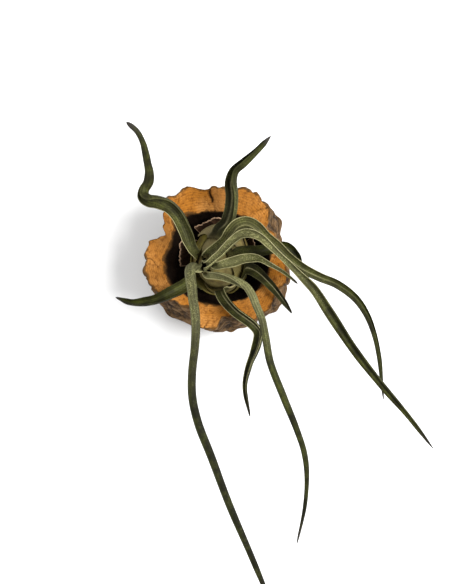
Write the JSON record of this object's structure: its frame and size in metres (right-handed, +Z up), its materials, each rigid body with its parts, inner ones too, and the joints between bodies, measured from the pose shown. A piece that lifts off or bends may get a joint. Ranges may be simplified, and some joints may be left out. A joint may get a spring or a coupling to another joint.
{
  "type": "air plant in cork bark tube",
  "caption": "Bulb-forming air plant with long, channelled, curling leaves, held in the throat of a short tube of natural cork bark that stands on its sawn foot.",
  "frame": {"origin": "on the surface that the bark tube stands on, under the middle of the whole plant's bounding box, long leaves included", "axes": "+Z up out of the tube; +Y from the longest leaf's tip towards the back, where the elbowed leaf rises; +X towards the long right-hand leaves"},
  "size_m": [0.1704, 0.254, 0.0973],
  "materials": {
    "cork_bark": "matte, rough natural cork, orange-brown where it is sawn and grey-brown on the bark side",
    "stem": "matte, dry and woody",
    "leaf_green": "matte, dark green under fine pale scales",
    "leaf_pale": "matte, grey-green under denser pale scales",
    "dry_sheath": "matte, dry and papery"
  },
  "bodies": {
    "root": {"cork_tube": "cork_bark", "stem": "stem", "leaf_broad_right": "leaf_green", "leaf_left": "leaf_green", "leaf_folded": "leaf_green", "leaf_upper": "leaf_green", "leaf_dark_right": "leaf_green", "leaf_elbow": "leaf_green", "leaf_right_arch": "leaf_green", "leaf_lower_long": "leaf_pale", "leaf_forward_long": "leaf_pale", "leaf_right_long": "leaf_pale", "leaf_short_wavy": "leaf_pale", "dry_sheath_back": "dry_sheath", "dry_sheath_left": "dry_sheath", "dry_sheath_right": "dry_sheath"}
  },
  "joints": []
}
